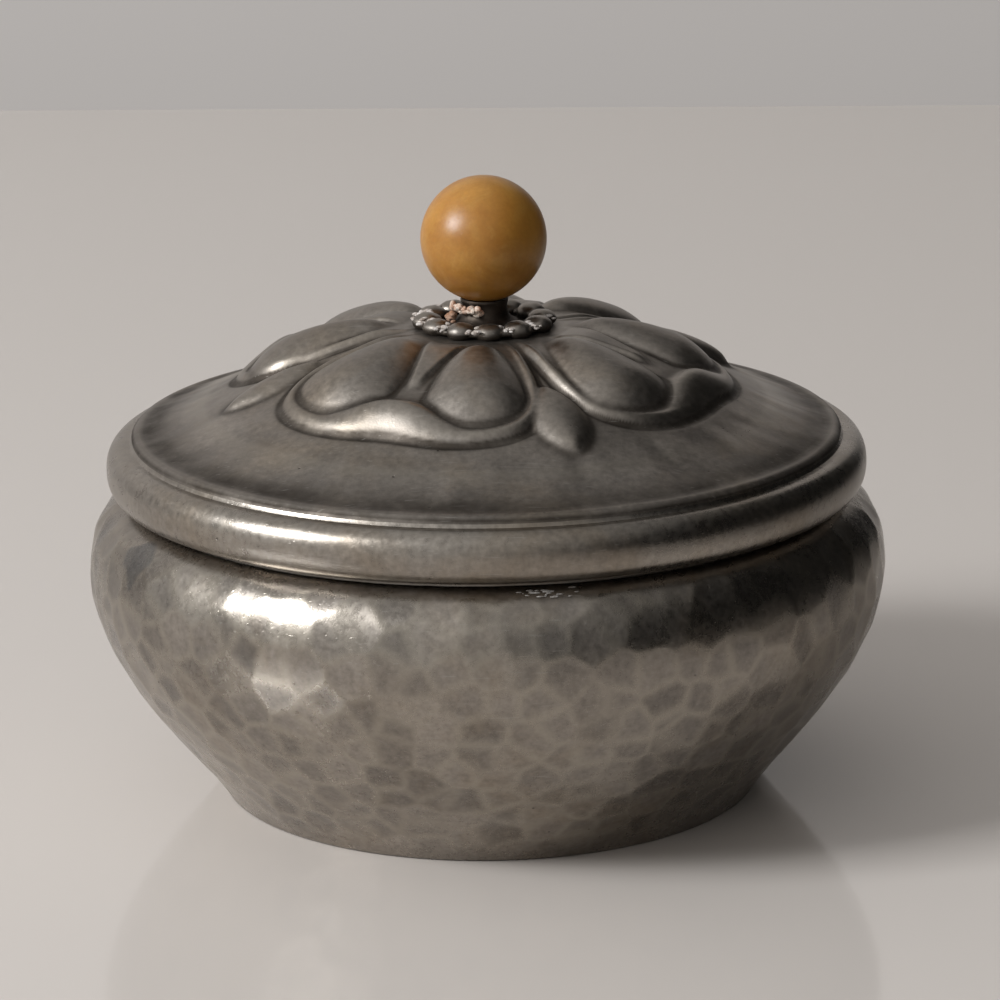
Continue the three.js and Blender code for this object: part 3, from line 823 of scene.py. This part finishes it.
power = 2 / MOULDING_SQUARENESS
turn = np.radians(np.linspace(-110, 90, 56))
c, s = np.cos(turn), np.sin(turn)
moulding_outer = np.stack([
    MOULDING_RADIUS + MOULDING_HALF_WIDTH * np.sign(c) * np.abs(c) ** power,
    MOULDING_HEIGHT + MOULDING_HALF_HEIGHT * np.sign(s) * np.abs(s) ** power,
], 1)
groove = [(57.95, 58.36), (57.75, 58.6), (57.58, 58.95), (57.45, 58.9), (57.45, 57.7), (55.7, 57.7)]
moulding_profile = np.vstack([[(55.7, 51.2)], moulding_outer, groove])
moulding = lathe("lid_edge_moulding", moulding_profile, 720, sharp=35, wobble=0.02, seed=21)
dress(moulding, smooth, "lid", "lid_moulding")

flange_profile = [
    (54.5, 45.5), (54.9, 45.5), (55.2, 45.8), (55.4, 46.5), (55.4, 58), (54, 58), (54, 46.5), (54.2, 45.8),
]
flange = lathe("lid_locating_flange", flange_profile, 360, sharp=35, wobble=0.02, seed=31)
dress(flange, smooth, "lid", "lid_flange")

# ---------------------------------------------------------------- ring of beads


def around(bearing, radius, height):
    """A place at a bearing in radians, a radius and a height."""
    return (radius * math.cos(bearing), radius * math.sin(bearing), height)


def blob(radii, place, turn_degrees, rings, steps, bumps, seed):
    """A rounded, slightly uneven body, long along its own X."""
    polar = np.linspace(0, math.pi, rings + 1)[1:-1]
    angle = np.arange(steps) * 2 * math.pi / steps
    points = [np.array([[0, 0, -1.0]])]
    for p in polar:
        ring = np.stack([np.sin(p) * np.cos(angle), np.sin(p) * np.sin(angle), np.full(steps, -np.cos(p))], 1)
        points.append(ring)
    points.append(np.array([[0, 0, 1.0]]))
    unit = np.vstack(points)
    verts = unit * np.array(radii)
    verts = verts * (1 + bumps * value_noise(verts + seed * 7.3, 0.9, seed))[:, None]
    a = math.radians(turn_degrees)
    spin = np.array([[math.cos(a), -math.sin(a), 0], [math.sin(a), math.cos(a), 0], [0, 0, 1]])
    counts = [1] + [steps] * len(polar) + [1]
    return verts @ spin.T + np.array(place), ring_faces(counts, steps)


def joined(name, parts, values=None, sharp=None):
    """One object from several closed bodies."""
    verts, faces, base = [], [], 0
    for v, f in parts:
        verts.append(v)
        faces += [tuple(int(i) + base for i in face) for face in f]
        base += len(v)
    return mesh_object(name, np.vstack(verts), faces, values, sharp)


BEADS = 12
FIRST_BEAD = -85
BEAD_RING_RADIUS = 9.3
BEAD_LEVEL = 77.1
BEAD_SIZE = (2.4, 2.5, 1.55)

bead_parts = []
for k in range(BEADS):
    bearing = FIRST_BEAD + 360 / BEADS * k + rng.uniform(-1.5, 1.5)
    size = (
        BEAD_SIZE[0] * rng.uniform(0.94, 1.02),
        BEAD_SIZE[1] * rng.uniform(0.95, 1.02),
        BEAD_SIZE[2] * rng.uniform(0.93, 1.03),
    )
    place = around(math.radians(bearing), BEAD_RING_RADIUS, BEAD_LEVEL)
    bead_parts.append(blob(size, place, bearing, 20, 28, 0.05, 40 + k))
wire_outline = [
    (7.8, 76.65), (10.8, 76.65), (10.8, 77.2), (10.3, 77.5), (8.3, 77.5), (7.8, 77.2), (7.8, 76.65),
]
bead_parts.append(revolve(resample(wire_outline, 0.3)[:-1], 180))
bead_height = np.concatenate([verts[:, 2] for verts, faces in bead_parts])
bead_values = {
    "cavity": 1 - ease(76.8, 77.9, bead_height),
    "ridge": ease(77.9, 78.6, bead_height),
    "tone": np.full(len(bead_height), 0.4),
}
beads = joined("stamen_bead_ring", bead_parts, bead_values)
dress(beads, relief_pewter, "lid", "bead_ring")

# ---------------------------------------------------------------- knob

BALL_Z = 90.6
BALL_R = 10.2
CLEAR_HOLE = 1.8
NECK_FOOT = 5.4
NECK_WAIST = 3.4
NECK_LIP = 3.9
GAP = 0.3


def ball_under(r):
    """Height of the ball's underside at a radius."""
    return BALL_Z - math.sqrt(BALL_R**2 - r**2)


lip_top = ball_under(NECK_LIP) - GAP
flare = bezier(
    (NECK_FOOT, 77.1), (NECK_WAIST + 0.2, 77.8), (NECK_WAIST, lip_top - 1.6), (NECK_LIP, lip_top - 0.3), 24,
)
neck_foot = [(CLEAR_HOLE, 76.6), (NECK_FOOT - 0.2, 76.6), (NECK_FOOT, 76.75)]
neck_lip = [(NECK_LIP - 0.1, lip_top), (CLEAR_HOLE, ball_under(CLEAR_HOLE) - GAP)]
neck_profile = np.vstack([neck_foot, flare, neck_lip])
neck = lathe("knob_neck_flare", neck_profile, 96, sharp=50, wobble=0.05, seed=51)
# The neck's near-black material is partly painted shade under the ball
dress(neck, dark, "lid", "knob_neck")

start = -math.degrees(math.acos(CLEAR_HOLE / BALL_R))
ball_arc = arc(0, BALL_Z, BALL_R, start, 90, 110)
ball_arc[-1, 0] = 0
ball_bore = [(0, 88.3), (CLEAR_HOLE, 88.3), (CLEAR_HOLE, ball_under(CLEAR_HOLE) + 0.25)]
ball = lathe("knob_ball_resin", np.vstack([ball_bore, ball_arc]), 180, sharp=40, wobble=0.02, seed=61)
dress(ball, ball_resin, "lid", "knob_ball")


THREAD_DEPTH = 0.28
END_CHAMFER = 0.25
END_LENGTH = 0.4


def threaded_rod(name, low, high, radius, pitch, columns=48):
    """A rod whose surface carries a rounded helical thread."""
    rows = int((high - low) / 0.06)
    angle = np.arange(columns) * 2 * math.pi / columns
    verts, counts = [np.array([[0, 0, low]])], [1]
    for i in range(rows + 1):
        z = low + (high - low) * i / rows
        turn_share = (z / pitch - angle / (2 * math.pi)) % 1
        ends = min(1, (z - low) / END_LENGTH, (high - z) / END_LENGTH)
        r = radius - THREAD_DEPTH * np.abs(turn_share - 0.5) * 2 - END_CHAMFER * (1 - max(ends, 0))
        verts.append(np.stack([r * np.cos(angle), r * np.sin(angle), np.full(columns, z)], 1))
        counts.append(columns)
    verts.append(np.array([[0, 0, high]]))
    counts.append(1)
    return mesh_object(name, np.vstack(verts), ring_faces(counts, columns), sharp=60)


stud = threaded_rod("knob_threaded_stud", 69.5, 88, 1.5, 0.7)
dress(stud, fixing, "lid", "knob_stud")

washer_profile = [
    (CLEAR_HOLE, 73.9), (5.2, 73.9), (5.5, 74.1), (5.5, 74.5), (5.3, 74.7), (CLEAR_HOLE, 74.7),
]
washer = lathe("knob_washer_disc", washer_profile, 120, sharp=35, wobble=0.02, seed=71)
dress(washer, fixing, "lid", "knob_washer")


def hex_nut(name, low, high, flats, hole, columns=96):
    """A hexagon nut with its corners chamfered top and bottom."""
    angle = np.arange(columns) * 2 * math.pi / columns
    side = flats / 2 / np.cos((angle % (math.pi / 3)) - math.pi / 6)
    cap = flats / 2 * 1.05
    bore = np.full(columns, hole)
    mouth = bore + 0.25
    cut = np.minimum(side, cap)
    rows = [
        (bore, low + 0.25), (mouth, low), (cut, low), (side, low + 0.3),
        (side, high - 0.3), (cut, high), (mouth, high), (bore, high - 0.25),
    ]
    verts = [np.stack([r * np.cos(angle), r * np.sin(angle), np.full(columns, z)], 1) for r, z in rows]
    return mesh_object(name, np.vstack(verts), ring_faces([columns] * len(rows), columns, True), sharp=25)


nut = hex_nut("knob_hex_nut", 71.2, 73.6, 5.5, CLEAR_HOLE)
dress(nut, fixing, "lid", "knob_nut")

# ---------------------------------------------------------------- old cement and polish

# Two kinds of crumb on the neck's left: brown ones low down, and pale ones higher, under the ball
crumbs = []
brown = []
for k in range(64):
    is_low = k % 3 == 0
    bearing = math.radians(rng.uniform(-186, -148) if is_low else rng.uniform(-172, -98))
    level = rng.uniform(0, 1)
    if is_low:
        spread = 5.9 - 1.1 * level + rng.uniform(-0.2, 0.5)
        height = 77.5
    else:
        spread = 4.6 + 0.5 * level + rng.uniform(-0.2, 0.3)
        height = 79.0
    size = rng.uniform(0.25, 0.7)
    shape = (size * rng.uniform(0.8, 1.3), size * rng.uniform(0.7, 1.1), size * rng.uniform(0.6, 1))
    place = around(bearing, spread, height + 1.1 * level)
    crumbs.append(blob(shape, place, rng.uniform(0, 360), 8, 10, 0.35, 100 + k))
    brown += [float(is_low)] * len(crumbs[-1][0])
crumb = joined("old_cement_crumbs", crumbs, {"brown": brown}, sharp=35)
dress(crumb, cement, "lid", "old_cement")

# Dried polish in the gaps between the beads, thickest towards the front
flecks = []
for k in range(BEADS):
    gap = FIRST_BEAD + 15 + 360 / BEADS * k
    facing = math.cos(math.radians(gap + 105))
    for m in range(9 if facing > 0.2 else 3):
        bearing = math.radians(gap + rng.uniform(-4.5, 4.5))
        spread = 9.4 + rng.uniform(-1.2, 2.2)
        size = rng.uniform(0.25, 0.58)
        place = around(bearing, spread, 77.5 + rng.uniform(-0.1, 0.45))
        shape = (size * 1.3, size, size * 0.6)
        flecks.append(blob(shape, place, rng.uniform(0, 360), 6, 9, 0.35, 200 + 12 * k + m))
for k in range(26):
    bearing = math.radians(rng.uniform(-196, -150))
    spread = rng.uniform(8.6, 11.6)
    size = rng.uniform(0.25, 0.62)
    place = around(bearing, spread, 78.3 - 0.22 * abs(spread - BEAD_RING_RADIUS) ** 1.5)
    shape = (size * 1.2, size, size * 0.5)
    flecks.append(blob(shape, place, rng.uniform(0, 360), 6, 9, 0.35, 400 + k))
fleck = joined("polish_residue_flecks", flecks, sharp=35)
dress(fleck, polish, "lid", None)

# A pale film of it on the bowl's shoulder, just below the lid
smears = []
for k in range(24):
    bearing = math.radians(-82 + rng.normal(0, 2.4))
    spread = rng.uniform(59.0, 60.6)
    height = np.interp(spread, outer[::-1, 0][:20], outer[::-1, 1][:20])
    size = rng.uniform(0.12, 0.3)
    shape = (size * 0.8, size * rng.uniform(1, 3.2), size * 0.5)
    smears.append(blob(shape, around(bearing, spread, height), math.degrees(bearing), 6, 9, 0.3, 500 + k))
smear = joined("mouth_residue_smears", smears, sharp=35)
dress(smear, film, "bowl", None)

# ---------------------------------------------------------------- room, light and camera


# The table runs back to a wall. On the right the wall ends and the table's colour darkens
# as painted shade, a falloff of light, so that the metal has something dim to reflect there.
TABLE_COLOUR = (0.64, 0.594, 0.556)
TABLE_PAINTED_SHADE = (0.16, 0.15, 0.142)
WALL_COLOUR = (0.575, 0.545, 0.525)


def stage_plane(name, corners, material):
    mesh = bpy.data.meshes.new(name)
    mesh.from_pydata(corners, [], [(0, 1, 2, 3)])
    ob = bpy.data.objects.new(name, mesh)
    bpy.context.scene.collection.objects.link(ob)
    mesh.materials.append(material)


def plain_surface(name, colour, roughness, specular):
    n = Nodes(name)
    n.shader.inputs["Base Color"].default_value = (*colour, 1)
    n.shader.inputs["Roughness"].default_value = roughness
    n.shader.inputs["Specular IOR Level"].default_value = specular
    return n


table_paint = plain_surface("table_paint", TABLE_COLOUR, 0.09, 0.5)
# Painted shade: the table's colour darkens towards the right, along a line that slants with the table's depth
split = table_paint.add("ShaderNodeSeparateXYZ")
table_paint.put(split.inputs[0], table_paint.stretched((1, 1, 1)))
slant = table_paint.math("MULTIPLY", split.outputs["Y"], 0.11)
painted_shade_to_right = table_paint.span(table_paint.math("SUBTRACT", split.outputs["X"], slant), 0.1, 0.45)
table_colour = table_paint.mix(painted_shade_to_right, TABLE_COLOUR, TABLE_PAINTED_SHADE)
table_paint.put(table_paint.shader.inputs["Base Color"], table_colour)

wall_paint = plain_surface("wall_paint", WALL_COLOUR, 0.95, 0.05)
wall_paint.shader.inputs["Emission Color"].default_value = (*WALL_COLOUR, 1)
wall_paint.shader.inputs["Emission Strength"].default_value = 0.1

table_corners = [(-2.4, -3.2, 0), (3.2, -3.2, 0), (3.2, 0.463, 0), (-2.4, 0.692, 0)]
wall_corners = [(-2.4, 0.95, -1), (0.5, 0.95, -1), (0.5, 0.95, 0.9), (-2.4, 0.95, 0.9)]
stage_plane("table", table_corners, table_paint.material)
stage_plane("wall", wall_corners, wall_paint.material)


def area_light(name, place, target, width, depth, power, colour):
    """A soft rectangular light at a place, turned to a target."""
    data = bpy.data.lights.new(name, "AREA")
    data.shape = "RECTANGLE"
    data.size, data.size_y = width, depth
    data.energy = power
    data.color = colour
    ob = bpy.data.objects.new(name, data)
    ob.location = place
    ob.rotation_euler = (Vector(target) - Vector(place)).to_track_quat("-Z", "Y").to_euler()
    bpy.context.scene.collection.objects.link(ob)


area_light("key", (-1.17, -0.51, 0.86), (0, 0, 0.05), 0.5, 0.5, 21.5, (0.97, 0.985, 1))


def room_world():
    """A dim room: pale above and to the left, nearly dark low down on the right."""
    world = bpy.data.worlds.new("room")
    world.use_nodes = True
    tree = world.node_tree
    where = tree.nodes.new("ShaderNodeTexCoord").outputs["Generated"]
    axis = tree.nodes.new("ShaderNodeVectorMath")
    axis.operation = "DOT_PRODUCT"
    axis.inputs[1].default_value = (-0.8, -0.25, 0.37)
    tree.links.new(where, axis.inputs[0])
    span = tree.nodes.new("ShaderNodeMapRange")
    for key, number in (("From Min", -0.32), ("From Max", 0.5), ("To Min", 0.015), ("To Max", 0.6)):
        span.inputs[key].default_value = number
    span.interpolation_type = "SMOOTHSTEP"
    tree.links.new(axis.outputs["Value"], span.inputs["Value"])
    background = tree.nodes["Background"]
    background.inputs["Color"].default_value = (1, 0.985, 0.965, 1)
    tree.links.new(span.outputs["Result"], background.inputs["Strength"])
    bpy.context.scene.world = world


room_world()

camera_data = bpy.data.cameras.new("camera")
camera_data.lens = 171.3
camera_data.sensor_width = 36
camera = bpy.data.objects.new("camera", camera_data)
bpy.context.scene.collection.objects.link(camera)
bpy.context.scene.camera = camera
look = Euler((math.radians(90 - 15.384), 0, math.radians(-0.161))).to_matrix().to_4x4()
roll = Matrix.Rotation(math.radians(-0.724), 4, "Z")
camera.matrix_world = Matrix.Translation((0, -0.75, 0.2532)) @ look @ roll

bpy.context.scene.view_settings.view_transform = "Standard"
